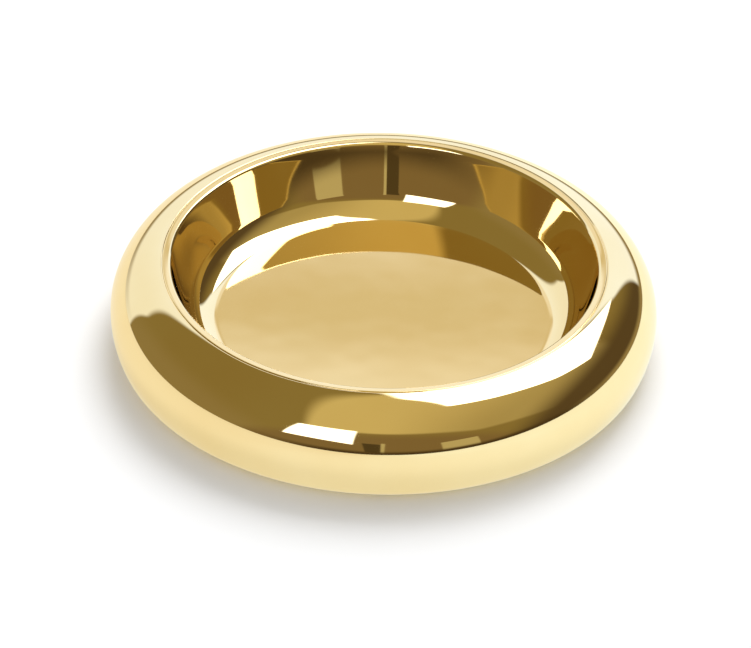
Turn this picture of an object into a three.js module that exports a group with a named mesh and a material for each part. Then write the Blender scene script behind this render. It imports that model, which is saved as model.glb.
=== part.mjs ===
// Offering plate: a flat-bottomed spun brass bowl with a broad rolled rim, in millimetres.
// The origin is the centre of the resting face, +Z is up along the plate's axis of revolution.
import * as THREE from "three";

// Sheet metal and overall shape
const SHEET = 1; // thickness of the spun brass
const PLATE_RADIUS = 152.5; // at the widest line of the rim
const TURNS = 64; // flat strips round the axis

// Outside of the rim, from its top down to the turned-in foot
const SHOULDER_RADIUS = 32; // upper quarter round of the section
const FLANK_RADIUS = 42; // flatter round below the widest line
const FLANK_ANGLE = 23; // degrees that the flank turns before the curl
const CURL_RADIUS = 9; // tight round that turns the flank under
const FOOT_INNER_RADIUS = 133.5; // where the flat foot ends and its wired edge begins

// Wired edge on the inside of the foot
const WIRE_RADIUS = 1.25;
const WIRE_CLEARANCE = 0.05;
const EDGE_TURN = 240; // degrees that the sheet wraps round the wire

// Felt ring glued under the foot
const FELT_THICKNESS = 1.2;
const FELT_INNER_RADIUS = 133.8;
const FELT_OUTER_RADIUS = 140.4;

// Bowl, measured on its inside face
const BOWL_DEPTH = 38; // from the top of the lip to the floor
const FLOOR_RADIUS = 92.5;
const WALL_FOOT_ANGLE = 67; // degrees between the wall and the floor's plane, above the cove
const WALL_TOP_ANGLE = 72; // the same under the lip, so the wall is very slightly hollow
const LIP_RADIUS = 120.5; // where the lip's round reaches its top
const LIP_ROUND = 2;
const LIP_FALL = 5; // degrees that the lip's top falls towards the bowl
const LIP_EDGE_RADIUS = 123.7; // outer edge of the turned-out lip

// Lap joint: the lip lies in a step pressed into the rim
const SOLDER_THICKNESS = 0.35; // at the outer edge of the lip, thinning towards the bowl
const SOLDER_CLEARANCE = 0.02;
const SOLDER_INNER_RADIUS = 121.2;
const SOLDER_OUTER_RADIUS = 123.4;
const SEAT_INNER_RADIUS = 120.9;
const SEAM_GAP = 0.3; // open groove between the lip's edge and the rim

// Heights that follow from the sizes above
const footZ = FELT_THICKNESS;
const curlZ = footZ + CURL_RADIUS;
const widestZ = curlZ + (FLANK_RADIUS - CURL_RADIUS) * sine(FLANK_ANGLE);
const lipZ = widestZ + SHOULDER_RADIUS;
const floorZ = lipZ - BOWL_DEPTH;

// Centres of the lip's rounded edge and of the round between the lip and the wall
const noseRadius = SHEET / 2;
const noseR = LIP_EDGE_RADIUS - noseRadius;
const noseZ = lipZ - noseRadius;
const lipDrop = (noseR - LIP_RADIUS) * sine(LIP_FALL) + LIP_ROUND - noseRadius;
const roundZ = noseZ - lipDrop / cosine(LIP_FALL);

function sine(degrees) {
  return Math.sin(THREE.MathUtils.degToRad(degrees));
}

function cosine(degrees) {
  return Math.cos(THREE.MathUtils.degToRad(degrees));
}

// Points (radius, height) on an arc, both ends included; angles in degrees from +radius towards +Z
function arc(centreR, centreZ, radius, from, to, steps) {
  const points = [];
  for (let i = 0; i <= steps; i++) {
    const angle = from + ((to - from) * i) / steps;
    points.push(new THREE.Vector2(centreR + radius * cosine(angle), centreZ + radius * sine(angle)));
  }
  return points;
}

function point(radius, height) {
  return new THREE.Vector2(radius, height);
}

// One outline from several stretches, without repeating the point where two stretches meet
function outline(...stretches) {
  const points = [];
  for (const next of stretches.flat()) {
    const last = points.at(-1);
    if (!last || last.distanceTo(next) > 0.001) points.push(next);
  }
  return points;
}

function closed(points) {
  return [...points, points[0].clone()];
}

function turned(name, section, material) {
  const mesh = new THREE.Mesh(new THREE.LatheGeometry(section, TURNS), material);
  mesh.name = name;
  // A lathe turns about +Y, and this stands its axis up along +Z
  mesh.rotation.x = Math.PI / 2;
  return mesh;
}

function polishedBrass() {
  return new THREE.MeshStandardMaterial({ color: 0xe0bb6a, metalness: 1, roughness: 0.08 });
}

function brassWire() {
  return new THREE.MeshStandardMaterial({ color: 0xb8964f, metalness: 1, roughness: 0.35 });
}

function softSolder() {
  return new THREE.MeshStandardMaterial({ color: 0xa9a69c, metalness: 1, roughness: 0.45 });
}

function greenFelt() {
  return new THREE.MeshStandardMaterial({ color: 0x24452f, metalness: 0, roughness: 0.95 });
}

// Radii of the cove and of the long wall, so that both arcs meet the floor and the lip smoothly
function coveAndWall() {
  const run = LIP_RADIUS - LIP_ROUND * sine(WALL_TOP_ANGLE) - FLOOR_RADIUS;
  const rise = roundZ + LIP_ROUND * cosine(WALL_TOP_ANGLE) - floorZ;
  const coveRun = sine(WALL_FOOT_ANGLE);
  const coveRise = 1 - cosine(WALL_FOOT_ANGLE);
  const wallRun = sine(WALL_TOP_ANGLE) - sine(WALL_FOOT_ANGLE);
  const wallRise = cosine(WALL_FOOT_ANGLE) - cosine(WALL_TOP_ANGLE);
  const share = coveRun * wallRise - coveRise * wallRun;
  return {
    cove: (run * wallRise - rise * wallRun) / share,
    wall: (rise * coveRun - run * coveRise) / share,
  };
}

// Bowl: flat floor, round cove, flared wall, and a lip turned outwards
function bowlSection() {
  const { cove, wall } = coveAndWall();
  const coveZ = floorZ + cove;
  const wallR = FLOOR_RADIUS - (wall - cove) * sine(WALL_FOOT_ANGLE);
  const wallZ = coveZ + (wall - cove) * cosine(WALL_FOOT_ANGLE);
  const foot = WALL_FOOT_ANGLE - 90;
  const top = WALL_TOP_ANGLE - 90;
  const lipTurn = 90 + WALL_TOP_ANGLE;
  const lipEnd = 90 + LIP_FALL;
  return outline(
    point(0, floorZ - SHEET),
    arc(FLOOR_RADIUS, coveZ, cove + SHEET, -90, foot, 7),
    arc(wallR, wallZ, wall + SHEET, foot, top, 2),
    arc(LIP_RADIUS, roundZ, LIP_ROUND - SHEET, lipTurn, lipEnd, 3),
    arc(noseR, noseZ, noseRadius, lipEnd - 180, lipEnd, 4),
    arc(LIP_RADIUS, roundZ, LIP_ROUND, lipEnd, lipTurn, 4),
    arc(wallR, wallZ, wall, top, foot, 2),
    arc(FLOOR_RADIUS, coveZ, cove, foot, -90, 7),
    point(0, floorZ),
  );
}

// Rim: step for the lip, quarter-round shoulder, flank, curl, flat foot, and the wrapped edge
function rimSection() {
  const shoulderR = PLATE_RADIUS - SHOULDER_RADIUS;
  const flankR = PLATE_RADIUS - FLANK_RADIUS;
  const curlR = flankR + (FLANK_RADIUS - CURL_RADIUS) * cosine(FLANK_ANGLE);
  const seatZ = lipZ - SHEET - SOLDER_THICKNESS;
  const stepR = LIP_EDGE_RADIUS + SEAM_GAP;
  const stepTurn = angleAt(stepR - shoulderR, SHOULDER_RADIUS);
  const innerTurn = angleAt(stepR + SHEET - shoulderR, SHOULDER_RADIUS - SHEET);
  const edgeInside = WIRE_RADIUS + WIRE_CLEARANCE;
  const edgeOutside = edgeInside + SHEET;
  const edgeZ = footZ + edgeOutside;
  const edgeEnd = -90 - EDGE_TURN;
  const innerFace = outline(
    point(SEAT_INNER_RADIUS, seatZ - SHEET),
    point(stepR + SHEET / 2, seatZ - SHEET),
    arc(shoulderR, widestZ, SHOULDER_RADIUS - SHEET, innerTurn, 0, 9),
    arc(flankR, widestZ, FLANK_RADIUS - SHEET, 0, -FLANK_ANGLE, 3),
    arc(curlR, curlZ, CURL_RADIUS - SHEET, -FLANK_ANGLE, -90, 4),
    arc(FOOT_INNER_RADIUS, edgeZ, edgeInside, -90, edgeEnd, 10),
  );
  const outerFace = outline(
    point(SEAT_INNER_RADIUS, seatZ),
    point(stepR - SEAM_GAP / 2, seatZ),
    arc(shoulderR, widestZ, SHOULDER_RADIUS, stepTurn, 0, 9),
    arc(flankR, widestZ, FLANK_RADIUS, 0, -FLANK_ANGLE, 3),
    arc(curlR, curlZ, CURL_RADIUS, -FLANK_ANGLE, -90, 4),
    arc(FOOT_INNER_RADIUS, edgeZ, edgeOutside, -90, edgeEnd, 10),
  );
  return closed(outline(outerFace.reverse(), innerFace));
}

// Angle, in degrees, of the arc's point that lies a given distance out from its centre
function angleAt(distance, radius) {
  return THREE.MathUtils.radToDeg(Math.acos(distance / radius));
}

// Wire inside the wrapped edge
function wireSection() {
  const wireZ = footZ + SHEET + WIRE_CLEARANCE + WIRE_RADIUS;
  return closed(arc(FOOT_INNER_RADIUS, wireZ, WIRE_RADIUS, 0, 315, 7));
}

// Flat ring with a rectangular section
function flatRing(innerRadius, outerRadius, bottomZ, topZ) {
  return closed([
    point(innerRadius, bottomZ),
    point(outerRadius, bottomZ),
    point(outerRadius, topZ),
    point(innerRadius, topZ),
  ]);
}

// Solder between the level step and the underside of the falling lip
function solderSection() {
  const bottomZ = lipZ - SHEET - SOLDER_THICKNESS;
  const undersideZ = (radius) => noseZ - (noseRadius + (noseR - radius) * sine(LIP_FALL)) / cosine(LIP_FALL);
  return closed([
    point(SOLDER_INNER_RADIUS, bottomZ),
    point(SOLDER_OUTER_RADIUS, bottomZ),
    point(SOLDER_OUTER_RADIUS, undersideZ(noseR) - SOLDER_CLEARANCE),
    point(SOLDER_INNER_RADIUS, undersideZ(SOLDER_INNER_RADIUS) - SOLDER_CLEARANCE),
  ]);
}

function feltSection() {
  return flatRing(FELT_INNER_RADIUS, FELT_OUTER_RADIUS, 0, footZ);
}

const plate = new THREE.Group();
plate.add(turned("bowl_shell", bowlSection(), polishedBrass()));
plate.add(turned("rim_shell", rimSection(), polishedBrass()));
plate.add(turned("lip_solder_seam", solderSection(), softSolder()));
plate.add(turned("rim_edge_wire", wireSection(), brassWire()));
plate.add(turned("base_felt_ring", feltSection(), greenFelt()));

export default plate;
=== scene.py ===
import math

import bmesh
import bpy
from mathutils import Matrix, Vector


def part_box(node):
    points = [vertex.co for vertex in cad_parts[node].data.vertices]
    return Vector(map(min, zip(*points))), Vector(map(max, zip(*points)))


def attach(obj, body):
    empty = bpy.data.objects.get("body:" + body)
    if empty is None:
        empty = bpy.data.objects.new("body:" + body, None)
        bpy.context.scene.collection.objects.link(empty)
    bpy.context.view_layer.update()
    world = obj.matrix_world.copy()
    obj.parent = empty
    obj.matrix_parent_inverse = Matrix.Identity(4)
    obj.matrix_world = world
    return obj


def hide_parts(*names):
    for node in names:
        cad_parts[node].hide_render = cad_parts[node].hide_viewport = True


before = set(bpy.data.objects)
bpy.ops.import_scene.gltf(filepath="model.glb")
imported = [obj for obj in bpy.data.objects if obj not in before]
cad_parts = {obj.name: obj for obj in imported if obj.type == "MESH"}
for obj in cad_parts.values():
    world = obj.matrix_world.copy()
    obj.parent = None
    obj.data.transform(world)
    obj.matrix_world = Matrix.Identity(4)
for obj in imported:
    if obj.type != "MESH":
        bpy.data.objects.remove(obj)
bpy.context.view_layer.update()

scene = bpy.context.scene
scene.view_settings.view_transform = "Standard"
BODY = "root"
MM = 0.001

# ---------------------------------------------------------------------------------------------
# The bowl. One disc of 1 mm brass sheet, spun over a wooden chuck: flat floor, round cove,
# flared wall, and a lip turned outwards that lies in a step of the rim. Polished to a mirror
# on a cotton wheel and lacquered.
# ---------------------------------------------------------------------------------------------
SHEET = 1.0 * MM
FACETS = 288
LIP_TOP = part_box("bowl_shell")[1].z
FLOOR_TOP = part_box("bowl_shell")[0].z + SHEET
FLOOR_RADIUS = 92.5 * MM
WALL_FOOT_ANGLE = 67
WALL_TOP_ANGLE = 72
LIP_RADIUS = 120.5 * MM
LIP_ROUND = 2 * MM
LIP_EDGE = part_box("bowl_shell")[1].x
LIP_FALL = 5
NOSE_RADIUS = SHEET / 2

BRASS = "FAE9BE"
BRASS_WARM = "F6E1B0"


def linear(hex_colour):
    """An sRGB hex colour as the linear RGBA that a shader socket takes."""
    parts = [int(hex_colour[i:i + 2], 16) / 255 for i in (0, 2, 4)]
    return [((c + 0.055) / 1.055) ** 2.4 if c > 0.04045 else c / 12.92 for c in parts] + [1]


class Section:
    """The cut face of a turned piece, drawn in the XZ plane by extruding and spinning one point."""

    def __init__(self, radius, height):
        self.mesh = bmesh.new()
        self.first = self.mesh.verts.new((radius, 0, height))
        self.tip = self.first

    def straight(self, radius, height):
        made = bmesh.ops.extrude_vert_indiv(self.mesh, verts=[self.tip])
        self.tip = made["verts"][0]
        self.tip.co = (radius, 0, height)

    def bend(self, centre, degrees, steps):
        """Swings the tip round a centre in that many flats; plus degrees are counter-clockwise."""
        made = bmesh.ops.spin(
            self.mesh, geom=[self.tip], cent=(centre[0], 0, centre[1]), axis=(0, 1, 0),
            angle=math.radians(-degrees), steps=steps)
        self.tip = [g for g in made["geom_last"] if isinstance(g, bmesh.types.BMVert)][0]

    def close(self):
        self.mesh.edges.new((self.tip, self.first))

    def turned(self, name, material, slot):
        """Spins the section once round the plate's axis and hands the piece to the frame."""
        bmesh.ops.spin(
            self.mesh, geom=self.mesh.verts[:] + self.mesh.edges[:], cent=(0, 0, 0),
            axis=(0, 0, 1), angle=math.tau, steps=FACETS, use_merge=True)
        bmesh.ops.remove_doubles(self.mesh, verts=self.mesh.verts, dist=0.001 * MM)
        bmesh.ops.recalc_face_normals(self.mesh, faces=self.mesh.faces)
        for face in self.mesh.faces:
            face.smooth = True
        data = bpy.data.meshes.new(name)
        self.mesh.to_mesh(data)
        self.mesh.free()
        piece = bpy.data.objects.new(name, data)
        scene.collection.objects.link(piece)
        data.materials.append(material)
        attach(piece, BODY)
        return piece


def node(tree, kind, settings=None, inputs=None):
    """Adds one shader node. A value in inputs is a constant, or another node's output to link."""
    made = tree.nodes.new(kind)
    for key, value in (settings or {}).items():
        setattr(made, key, value)
    for key, value in (inputs or {}).items():
        if isinstance(value, bpy.types.NodeSocket):
            tree.links.new(value, made.inputs[key])
        else:
            made.inputs[key].default_value = value
    return made


def fresh_material(name):
    material = bpy.data.materials.new(name)
    material.use_nodes = True
    tree = material.node_tree
    tree.nodes.clear()
    output = node(tree, "ShaderNodeOutputMaterial")
    place = node(tree, "ShaderNodeTexCoord").outputs["Object"]
    return material, tree, output, place


def mirror_polished_brass():
    """Lacquered mirror brass: sharp reflections, long low waves left by the spinning roller,
    hair-fine rings from the polishing wheel, and a faint bloom of handling."""
    material, tree, output, place = fresh_material("mirror_polished_brass")
    apart = node(tree, "ShaderNodeSeparateXYZ", inputs={0: place})
    square = node(tree, "ShaderNodeCombineXYZ", inputs={0: apart.outputs[0], 1: apart.outputs[1]})
    radius = node(tree, "ShaderNodeVectorMath", {"operation": "LENGTH"}, {0: square.outputs[0]})
    # long waves, about 32 mm apart and some ten microns high
    waves = node(tree, "ShaderNodeTexNoise", inputs={
        "Vector": place, "Scale": 1 / (32 * MM), "Detail": 1.0, "Roughness": 0.4})
    wavy = node(tree, "ShaderNodeBump", inputs={
        "Strength": 1.0, "Distance": 0.04 * MM, "Height": waves.outputs["Fac"]})
    # faint rings of the wheel, drawn 0.7 mm apart, which is coarser than the real ones
    rings = node(tree, "ShaderNodeTexNoise", {"noise_dimensions": "1D"}, {
        "W": radius.outputs["Value"], "Scale": 1 / (0.7 * MM), "Detail": 2.0})
    fine = node(tree, "ShaderNodeBump", inputs={
        "Strength": 1.0, "Distance": 0.00004 * MM, "Height": rings.outputs["Fac"],
        "Normal": wavy.outputs["Normal"]})
    # handled patches, about 45 mm across, are a little less glossy
    bloom = node(tree, "ShaderNodeTexNoise", inputs={
        "Vector": place, "Scale": 1 / (45 * MM), "Detail": 5.0, "Roughness": 0.6})
    gloss = node(tree, "ShaderNodeMapRange", inputs={
        "Value": bloom.outputs["Fac"], "From Min": 0.35, "From Max": 0.75,
        "To Min": 0.02, "To Max": 0.05})
    # the colour drifts over about 70 mm
    tint = node(tree, "ShaderNodeTexNoise", inputs={
        "Vector": place, "Scale": 1 / (70 * MM), "Detail": 3.0})
    shade = node(tree, "ShaderNodeValToRGB", inputs={0: tint.outputs["Fac"]})
    shade.color_ramp.elements[0].position = 0.3
    shade.color_ramp.elements[0].color = linear(BRASS)
    shade.color_ramp.elements[1].position = 0.75
    shade.color_ramp.elements[1].color = linear(BRASS_WARM)
    skin = node(tree, "ShaderNodeBsdfPrincipled", inputs={
        "Base Color": shade.outputs["Color"], "Metallic": 1.0,
        "Roughness": gloss.outputs["Result"], "Normal": fine.outputs["Normal"]})
    tree.links.new(skin.outputs[0], output.inputs[0])
    return material


def sine(degrees):
    return math.sin(math.radians(degrees))


def cosine(degrees):
    return math.cos(math.radians(degrees))


def polar(centre, radius, degrees):
    return centre[0] + radius * cosine(degrees), centre[1] + radius * sine(degrees)


# The lip falls a little towards the bowl, from its rounded nose to the round above the wall.
NOSE_CENTRE = (LIP_EDGE - NOSE_RADIUS, LIP_TOP - NOSE_RADIUS)
LIP_DROP = (
    (NOSE_CENTRE[0] - LIP_RADIUS) * sine(LIP_FALL) + LIP_ROUND - NOSE_RADIUS) / cosine(LIP_FALL)
LIP_CENTRE = (LIP_RADIUS, NOSE_CENTRE[1] - LIP_DROP)


def cove_and_wall():
    """Radii of the cove and of the long wall that meet the floor and the lip smoothly."""
    run = LIP_CENTRE[0] - LIP_ROUND * sine(WALL_TOP_ANGLE) - FLOOR_RADIUS
    rise = LIP_CENTRE[1] + LIP_ROUND * cosine(WALL_TOP_ANGLE) - FLOOR_TOP
    cove_run = sine(WALL_FOOT_ANGLE)
    cove_rise = 1 - cosine(WALL_FOOT_ANGLE)
    wall_run = sine(WALL_TOP_ANGLE) - cove_run
    wall_rise = cosine(WALL_FOOT_ANGLE) - cosine(WALL_TOP_ANGLE)
    determinant = cove_run * wall_rise - cove_rise * wall_run
    cove = (run * wall_rise - rise * wall_run) / determinant
    wall = (rise * cove_run - run * cove_rise) / determinant
    return cove, wall


def bowl():
    cove, wall = cove_and_wall()
    cove_centre = (FLOOR_RADIUS, FLOOR_TOP + cove)
    wall_centre = polar(cove_centre, wall - cove, WALL_FOOT_ANGLE + 90)
    section = Section(0, FLOOR_TOP)
    # a ring just inside the cove keeps the floor's shading flat
    section.straight(FLOOR_RADIUS - SHEET, FLOOR_TOP)
    section.straight(FLOOR_RADIUS, FLOOR_TOP)
    section.bend(cove_centre, WALL_FOOT_ANGLE, steps=36)
    section.bend(wall_centre, WALL_TOP_ANGLE - WALL_FOOT_ANGLE, steps=8)
    section.bend(LIP_CENTRE, LIP_FALL - WALL_TOP_ANGLE, steps=14)
    section.straight(*polar(NOSE_CENTRE, NOSE_RADIUS, 90 + LIP_FALL))
    section.bend(NOSE_CENTRE, -180, steps=10)
    section.straight(*polar(LIP_CENTRE, LIP_ROUND - SHEET, 90 + LIP_FALL))
    section.bend(LIP_CENTRE, WALL_TOP_ANGLE - LIP_FALL, steps=8)
    section.bend(wall_centre, WALL_FOOT_ANGLE - WALL_TOP_ANGLE, steps=6)
    section.bend(cove_centre, -WALL_FOOT_ANGLE, steps=20)
    section.straight(0, FLOOR_TOP - SHEET)
    return section


brass = mirror_polished_brass()
bowl_piece = bowl().turned("spun_bowl", brass, "polished_brass")
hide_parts("bowl_shell")

# ---------------------------------------------------------------------------------------------
# The rim. A second spinning of the same sheet: a step that takes the lip, a full round shoulder,
# a flatter flank, and a tight curl turned in to a flat foot whose edge is wrapped round a wire.
# ---------------------------------------------------------------------------------------------
RIM_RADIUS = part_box("rim_shell")[1].x
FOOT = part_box("rim_shell")[0].z
SHOULDER_RADIUS = 32 * MM
FLANK_RADIUS = 42 * MM
FLANK_TURN = 23
CURL_RADIUS = 9 * MM
FOOT_INNER = 133.5 * MM
SEAT_INNER = 120.9 * MM
EDGE_TURN = 240
SOLDER_DEPTH = 0.35 * MM
SEAM = 0.12 * MM
WIRE_RADIUS = 1.25 * MM
WIRE_PLAY = 0.05 * MM
EDGE_CENTRE = (FOOT_INNER, FOOT + SHEET + WIRE_PLAY + WIRE_RADIUS)


def rim():
    widest = LIP_TOP - SHOULDER_RADIUS
    shoulder_centre = (RIM_RADIUS - SHOULDER_RADIUS, widest)
    flank_centre = (RIM_RADIUS - FLANK_RADIUS, widest)
    curl_x = flank_centre[0] + (FLANK_RADIUS - CURL_RADIUS) * cosine(FLANK_TURN)
    curl_centre = (curl_x, FOOT + CURL_RADIUS)
    step = LIP_EDGE + SEAM
    seat = LIP_TOP - SHEET - SOLDER_DEPTH
    shoulder_turn = math.degrees(math.acos((step - shoulder_centre[0]) / SHOULDER_RADIUS))
    inner_turn = math.degrees(math.acos(
        (step + SHEET - shoulder_centre[0]) / (SHOULDER_RADIUS - SHEET)))
    section = Section(SEAT_INNER, seat)
    section.straight(step - SEAM / 2, seat)
    section.straight(*polar(shoulder_centre, SHOULDER_RADIUS, shoulder_turn))
    section.bend(shoulder_centre, -shoulder_turn, steps=60)
    section.bend(flank_centre, -FLANK_TURN, steps=14)
    section.bend(curl_centre, FLANK_TURN - 90, steps=20)
    section.straight(FOOT_INNER, FOOT)
    section.bend(EDGE_CENTRE, -EDGE_TURN, steps=28)
    section.straight(*polar(EDGE_CENTRE, WIRE_RADIUS + WIRE_PLAY, -90 - EDGE_TURN))
    section.bend(EDGE_CENTRE, EDGE_TURN, steps=20)
    section.straight(curl_x, FOOT + SHEET)
    section.bend(curl_centre, 90 - FLANK_TURN, steps=14)
    section.bend(flank_centre, FLANK_TURN, steps=8)
    section.bend(shoulder_centre, inner_turn, steps=30)
    section.straight(step + SHEET / 2, seat - SHEET)
    section.straight(SEAT_INNER, seat - SHEET)
    section.close()
    return section


rim_piece = rim().turned("rolled_rim", brass, "polished_brass")
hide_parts("rim_shell")

# ---------------------------------------------------------------------------------------------
# The lap joint. Soft solder run in under the lip fills the step all round and shows only as a
# dull hairline in the seam.
# ---------------------------------------------------------------------------------------------
SOLDER_INNER = 121.2 * MM
SOLDER_GREY = "8F8B7E"
SOLDER_DARK = "5E5A4E"


def soft_solder():
    """Tin solder cooled without polishing: dull grey, slightly grainy, browned by the flux."""
    material, tree, output, place = fresh_material("soft_solder")
    grain = node(tree, "ShaderNodeTexNoise", inputs={
        "Vector": place, "Scale": 1 / (1.2 * MM), "Detail": 3.0})
    shade = node(tree, "ShaderNodeValToRGB", inputs={0: grain.outputs["Fac"]})
    shade.color_ramp.elements[0].color = linear(SOLDER_DARK)
    shade.color_ramp.elements[1].color = linear(SOLDER_GREY)
    rough = node(tree, "ShaderNodeMapRange", inputs={
        "Value": grain.outputs["Fac"], "To Min": 0.35, "To Max": 0.6})
    bump = node(tree, "ShaderNodeBump", inputs={
        "Strength": 1.0, "Distance": 0.05 * MM, "Height": grain.outputs["Fac"]})
    skin = node(tree, "ShaderNodeBsdfPrincipled", inputs={
        "Base Color": shade.outputs["Color"], "Metallic": 1.0,
        "Roughness": rough.outputs["Result"], "Normal": bump.outputs["Normal"]})
    tree.links.new(skin.outputs[0], output.inputs[0])
    return material


def solder_wedge():
    """The solder between the level step and the underside of the falling lip."""
    low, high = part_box("lip_solder_seam")
    outer = high.x
    fall = (outer - SOLDER_INNER) * math.tan(math.radians(LIP_FALL))
    section = Section(SOLDER_INNER, low.z)
    section.straight(outer, low.z)
    section.straight(outer, high.z)
    section.straight(SOLDER_INNER, high.z - fall)
    section.close()
    return section


solder_piece = solder_wedge().turned("seam_solder", soft_solder(), "soft_solder")
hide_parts("lip_solder_seam")

# ---------------------------------------------------------------------------------------------
# The edge wire. A hoop of drawn brass wire that the sheet's edge is wrapped round, so that the
# fingers under the rim meet a round bead.
# ---------------------------------------------------------------------------------------------
WIRE_BRASS = "C9A85C"
WIRE_SIDES = 24


def drawn_brass():
    """Brass wire straight from the die: fine scratches along its length, slightly browned."""
    material, tree, output, place = fresh_material("drawn_brass")
    apart = node(tree, "ShaderNodeSeparateXYZ", inputs={0: place})
    lines = node(tree, "ShaderNodeTexNoise", {"noise_dimensions": "1D"}, {
        "W": apart.outputs[2], "Scale": 1 / (0.15 * MM), "Detail": 2.0})
    rough = node(tree, "ShaderNodeMapRange", inputs={
        "Value": lines.outputs["Fac"], "To Min": 0.25, "To Max": 0.45})
    bump = node(tree, "ShaderNodeBump", inputs={
        "Strength": 1.0, "Distance": 0.01 * MM, "Height": lines.outputs["Fac"]})
    skin = node(tree, "ShaderNodeBsdfPrincipled", inputs={
        "Base Color": linear(WIRE_BRASS), "Metallic": 1.0,
        "Roughness": rough.outputs["Result"], "Normal": bump.outputs["Normal"]})
    tree.links.new(skin.outputs[0], output.inputs[0])
    return material


def edge_wire():
    section = Section(EDGE_CENTRE[0] + WIRE_RADIUS, EDGE_CENTRE[1])
    section.bend(EDGE_CENTRE, 360 - 360 / WIRE_SIDES, steps=WIRE_SIDES - 1)
    section.close()
    return section


wire_piece = edge_wire().turned("edge_wire", drawn_brass(), "brass_wire")
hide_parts("rim_edge_wire")

# ---------------------------------------------------------------------------------------------
# The felt ring. Pressed wool felt cut as a ring and glued under the foot, so that the plate
# slides on a polished table without scratching it.
# ---------------------------------------------------------------------------------------------
FELT_INNER = 133.8 * MM
FELT_DARK = "1C3624"
FELT_LIGHT = "3A5C44"


def pressed_felt():
    """Green wool felt: matted fibres, soft sheen, darker where it is pressed flat."""
    material, tree, output, place = fresh_material("pressed_felt")
    # tufts of fibres 0.8 mm apart, on patches about 12 mm across
    fibres = node(tree, "ShaderNodeTexNoise", inputs={
        "Vector": place, "Scale": 1 / (0.8 * MM), "Detail": 6.0, "Roughness": 0.7,
        "Distortion": 1.5})
    patches = node(tree, "ShaderNodeTexNoise", inputs={
        "Vector": place, "Scale": 1 / (12 * MM), "Detail": 2.0})
    both = node(tree, "ShaderNodeMath", {"operation": "MULTIPLY_ADD"}, {
        0: patches.outputs["Fac"], 1: 0.4, 2: fibres.outputs["Fac"]})
    shade = node(tree, "ShaderNodeValToRGB", inputs={0: both.outputs[0]})
    shade.color_ramp.elements[0].position = 0.45
    shade.color_ramp.elements[0].color = linear(FELT_DARK)
    shade.color_ramp.elements[1].position = 0.95
    shade.color_ramp.elements[1].color = linear(FELT_LIGHT)
    bump = node(tree, "ShaderNodeBump", inputs={
        "Strength": 0.8, "Distance": 0.15 * MM, "Height": fibres.outputs["Fac"]})
    skin = node(tree, "ShaderNodeBsdfPrincipled", inputs={
        "Base Color": shade.outputs["Color"], "Roughness": 0.95, "Sheen Weight": 0.4,
        "Normal": bump.outputs["Normal"]})
    tree.links.new(skin.outputs[0], output.inputs[0])
    return material


def felt_washer():
    low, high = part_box("base_felt_ring")
    section = Section(FELT_INNER, low.z)
    section.straight(high.x, low.z)
    section.straight(high.x, high.z)
    section.straight(FELT_INNER, high.z)
    section.close()
    return section


felt_piece = felt_washer().turned("felt_ring", pressed_felt(), "green_felt")
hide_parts("base_felt_ring")

# ---------------------------------------------------------------------------------------------
# The table: one pale matt sheet of card that runs far out under the plate. The metal shows it
# more evenly lit than it is, and whiter towards the softbox.
# ---------------------------------------------------------------------------------------------
TABLE_HALF = 6.0
CARD_WHITE = "EFEFEF"
GLOW_LEFT = "EDE3C4"
GLOW_RIGHT = "FBFFF3"
GLOW_STRENGTH = 1.12
GLOW_SHARE = 0.75
GLOW_LEFT_X = -150 * MM
GLOW_RIGHT_X = 200 * MM


def white_card():
    """Uncoated white card: matt, hardly any shine, with a glow that only the metal sees."""
    material, tree, output, place = fresh_material("white_card")
    card = node(tree, "ShaderNodeBsdfPrincipled", inputs={
        "Base Color": linear(CARD_WHITE), "Roughness": 0.7, "Specular IOR Level": 0.1})
    apart = node(tree, "ShaderNodeSeparateXYZ", inputs={0: place})
    side = node(tree, "ShaderNodeMapRange", inputs={
        "Value": apart.outputs[0], "From Min": GLOW_LEFT_X, "From Max": GLOW_RIGHT_X})
    tone = node(tree, "ShaderNodeMix", {"data_type": "RGBA"}, {
        0: side.outputs["Result"], 6: linear(GLOW_LEFT), 7: linear(GLOW_RIGHT)})
    glow = node(tree, "ShaderNodeEmission", inputs={
        "Color": tone.outputs[2], "Strength": GLOW_STRENGTH})
    ray = node(tree, "ShaderNodeLightPath")
    share = node(tree, "ShaderNodeMath", {"operation": "MULTIPLY"}, {
        0: ray.outputs["Is Glossy Ray"], 1: GLOW_SHARE})
    both = node(tree, "ShaderNodeMixShader", inputs={
        0: share.outputs[0], 1: card.outputs[0], 2: glow.outputs[0]})
    tree.links.new(both.outputs[0], output.inputs[0])
    return material


def table_top():
    mesh = bmesh.new()
    bmesh.ops.create_grid(mesh, x_segments=2, y_segments=2, size=TABLE_HALF)
    data = bpy.data.meshes.new("table_top")
    mesh.to_mesh(data)
    mesh.free()
    data.materials.append(white_card())
    table = bpy.data.objects.new("table_top", data)
    scene.collection.objects.link(table)


table_top()

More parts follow.
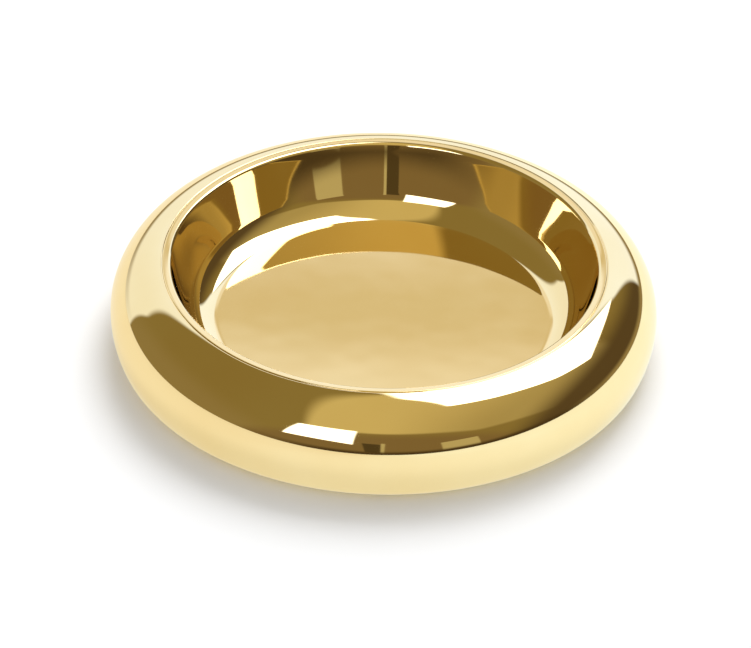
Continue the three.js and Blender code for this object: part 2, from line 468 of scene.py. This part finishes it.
# ---------------------------------------------------------------------------------------------
# The studio: a warm room with a lit ceiling and a white backdrop, a large softbox up behind to
# the right and a smaller one low in front to the left. A doorway, a cupboard and a post stand in
# front. The polished metal shows them all.
# ---------------------------------------------------------------------------------------------
# Outlines as seen from the plate, in degrees away from straight up: x to the right, y away from
# the camera, and 90 is the horizon. The corners go round clockwise.
SOFTBOX = ((0, 42), (23, 50), (47, 22), (39, 12), (13, 2), (2, 25))
FRONT_BOX = ((-46, -56), (-30, -39), (-9, -46), (-14, -71))
BACKDROP = ((-90, 140), (60, 140), (54, 70), (25, 50), (-50, 40), (-80, 52))
STRIPE = ((-8, 66), (7, 66), (7, 46), (-8, 46))
CEILING = ((0, 36), (60, 30), (70, -20), (40, -46), (0, -50), (-29, -44))
DOORWAY = ((29, -66), (45, -56), (54, -67), (35, -79))
CUPBOARD = ((-9, -68), (0, -70), (0, -87), (-9, -85))
POST = ((0, -68), (2, -68), (2, -87), (0, -87))

LEFT = (-1, 0)
RIGHT = (1, 0)
NEAR = (0, -1)
FAR = (0, 1)
RIGHT_AND_BACK = (0.95, 0.3)

# The light that each of them sends to the plate, as linear RGBA, where 1 is white.
SOFTBOX_LIGHT = (4, 4, 4, 1)
FRONT_BOX_LIGHT = (3, 3, 3, 1)
BACKDROP_LEFT = (0.97, 0.98, 0.93, 1)
BACKDROP_RIGHT = (1.06, 1.15, 1.3, 1)
STRIPE_CREAM = (0.93, 0.87, 0.74, 1)
STRIPE_DULL = (0.72, 0.61, 0.38, 1)
STRIPE_WHITE = (1.05, 1.05, 1.05, 1)
CEILING_LEFT = (0.62, 0.49, 0.2, 1)
CEILING_RIGHT = (0.42, 0.33, 0.13, 1)
WALLS = (0.255, 0.187, 0.056, 1)
LEFT_WALL = (0.28, 0.21, 0.08, 1)
NEAR_WALL = (0.215, 0.145, 0.055, 1)
RIGHT_WALL = (0.1, 0.066, 0.027, 1)
PALE_WOOD = (0.5, 0.42, 0.2, 1)
DARK_WOOD = (0.08, 0.054, 0.02, 1)
SKIRTING_NEAR = (0.07, 0.045, 0.017, 1)
SKIRTING_FAR = (0.3, 0.23, 0.1, 1)
EVEN_ROOM = (0.7, 0.71, 0.72, 1)
PLAIN_WHITE = (1, 1, 1, 1)


def studio():
    world = bpy.data.worlds.new("studio")
    scene.world = world
    world.use_nodes = True
    tree = world.node_tree
    tree.nodes.clear()
    way = node(tree, "ShaderNodeTexCoord").outputs["Generated"]
    apart = node(tree, "ShaderNodeSeparateXYZ", inputs={0: way})
    tilt = node(tree, "ShaderNodeMath", {"operation": "ARCCOSINE"}, {0: apart.outputs[2]})
    degrees = node(tree, "ShaderNodeMath", {"operation": "MULTIPLY"}, {
        0: tilt.outputs[0], 1: math.degrees(1)})
    across = node(tree, "ShaderNodeCombineXYZ", inputs={0: apart.outputs[0], 1: apart.outputs[1]})
    heading = node(tree, "ShaderNodeVectorMath", {"operation": "NORMALIZE"}, {0: across.outputs[0]})
    spot = node(tree, "ShaderNodeVectorMath", {"operation": "SCALE"}, {
        0: heading.outputs[0], "Scale": degrees.outputs[0]}).outputs[0]

    def ramp(side, start, end):
        """Rises from 0 to 1 between start and end, in degrees from straight up to that side."""
        along = node(tree, "ShaderNodeVectorMath", {"operation": "DOT_PRODUCT"}, {
            0: spot, 1: (side[0], side[1], 0)})
        rise = node(tree, "ShaderNodeMapRange", {"interpolation_type": "SMOOTHSTEP"}, {
            "Value": along.outputs["Value"], "From Min": start, "From Max": end})
        return rise.outputs["Result"]

    def panel(corners, softness):
        """1 inside the outline and 0 outside, with an edge twice as wide as the softness."""
        mask = None
        for here, there in zip(corners, corners[1:] + corners[:1]):
            edge = (Vector(there) - Vector(here)).normalized()
            inward = (edge.y, -edge.x)
            line = Vector(here).dot(Vector(inward))
            within = ramp(inward, line - softness, line + softness)
            mask = within if mask is None else node(
                tree, "ShaderNodeMath", {"operation": "MULTIPLY"}, {0: mask, 1: within}).outputs[0]
        return mask

    def layered(light, *layers):
        """Covers the light with each layer's own light in turn, as far as its mask lets it."""
        for mask, cover in layers:
            mixed = node(tree, "ShaderNodeMix", {"data_type": "RGBA"}, {
                0: mask, 6: light, 7: cover})
            light = mixed.outputs[2]
        return light

    # the flat floor shows only this upright stripe: cream, then a dull line, then white
    stripe = layered(
        STRIPE_CREAM,
        (ramp(FAR, 54.1, 54.9), STRIPE_DULL),
        (ramp(FAR, 54.9, 56.5), STRIPE_WHITE))
    backdrop = layered(
        BACKDROP_LEFT,
        (ramp(RIGHT, -45, 25), BACKDROP_RIGHT),
        (panel(STRIPE, softness=2), stripe))
    ceiling = layered(CEILING_LEFT, (ramp(RIGHT, -5, 45), CEILING_RIGHT))
    # a dark line where the room meets the far edge of the table
    low = node(tree, "ShaderNodeMapRange", {"interpolation_type": "SMOOTHSTEP"}, {
        "Value": degrees.outputs[0], "From Min": 82.0, "From Max": 88.0})
    skirting = node(tree, "ShaderNodeMath", {"operation": "MULTIPLY"}, {
        0: low.outputs["Result"], 1: ramp(RIGHT, -80, -25)})
    skirting_tone = layered(SKIRTING_NEAR, (ramp(FAR, -30, 30), SKIRTING_FAR))
    room = layered(
        WALLS,
        (ramp(LEFT, 45, 75), LEFT_WALL),
        (ramp(NEAR, 45, 60), NEAR_WALL),
        (panel(DOORWAY, softness=0.6), PALE_WOOD),
        (panel(CUPBOARD, softness=0.5), DARK_WOOD),
        (panel(POST, softness=0.4), PALE_WOOD),
        (panel(CEILING, softness=2.5), ceiling),
        (ramp(RIGHT_AND_BACK, 38, 66), RIGHT_WALL),
        (panel(BACKDROP, softness=1.5), backdrop),
        (panel(FRONT_BOX, softness=0.8), FRONT_BOX_LIGHT),
        (panel(SOFTBOX, softness=0.8), SOFTBOX_LIGHT),
        (skirting.outputs[0], skirting_tone))
    # matt things are lit by an even white room, and the camera sees plain white behind the table
    ray = node(tree, "ShaderNodeLightPath")
    shown = layered(
        room,
        (ray.outputs["Is Diffuse Ray"], EVEN_ROOM),
        (ray.outputs["Is Camera Ray"], PLAIN_WHITE))
    light = node(tree, "ShaderNodeBackground", inputs={"Color": shown, "Strength": 1.0})
    output = node(tree, "ShaderNodeOutputWorld")
    tree.links.new(light.outputs[0], output.inputs[0])


studio()

# ---------------------------------------------------------------------------------------------
# The fill lamp: a wide lamp up behind the plate, which brightens the table and which the metal
# doesn't show.
# ---------------------------------------------------------------------------------------------
FILL_SIZE = 1.4
FILL_POWER = 29
FILL_PLACE = Vector((0.3, 1.3, 1.6))


def soft_fill():
    lamp = bpy.data.lights.new("soft_fill", "AREA")
    lamp.shape = "SQUARE"
    lamp.size = FILL_SIZE
    lamp.energy = FILL_POWER
    fill = bpy.data.objects.new("soft_fill", lamp)
    fill.location = FILL_PLACE
    fill.rotation_euler = (-FILL_PLACE).to_track_quat("-Z", "Y").to_euler()
    fill.visible_glossy = False
    fill.visible_camera = False
    scene.collection.objects.link(fill)


soft_fill()

# ---------------------------------------------------------------------------------------------
# The camera: a long lens, 3.3 m away and about 35 degrees up, aimed just in front of the middle.
# ---------------------------------------------------------------------------------------------
DISTANCE = 3.3333
ELEVATION = 34.63
ROLL = 1.22
AIM = Vector((-0.0043, -0.0603, LIP_TOP))
LENS = 287.6
SENSOR_WIDTH = 36
SIGHT_LIMIT = 50


def camera():
    data = bpy.data.cameras.new("camera")
    data.sensor_width = SENSOR_WIDTH
    data.lens = LENS
    data.clip_end = SIGHT_LIMIT
    place = Vector((0, -cosine(ELEVATION), sine(ELEVATION))) * DISTANCE
    place.z += LIP_TOP
    ahead = (AIM - place).normalized()
    level = ahead.cross(Vector((0, 0, 1))).normalized()
    above = level.cross(ahead)
    right = level * cosine(ROLL) + above * sine(ROLL)
    up = right.cross(ahead)
    eye = bpy.data.objects.new("camera", data)
    scene.collection.objects.link(eye)
    eye.matrix_world = Matrix((
        (right.x, up.x, -ahead.x, place.x),
        (right.y, up.y, -ahead.y, place.y),
        (right.z, up.z, -ahead.z, place.z),
        (0, 0, 0, 1)))
    scene.camera = eye


camera()
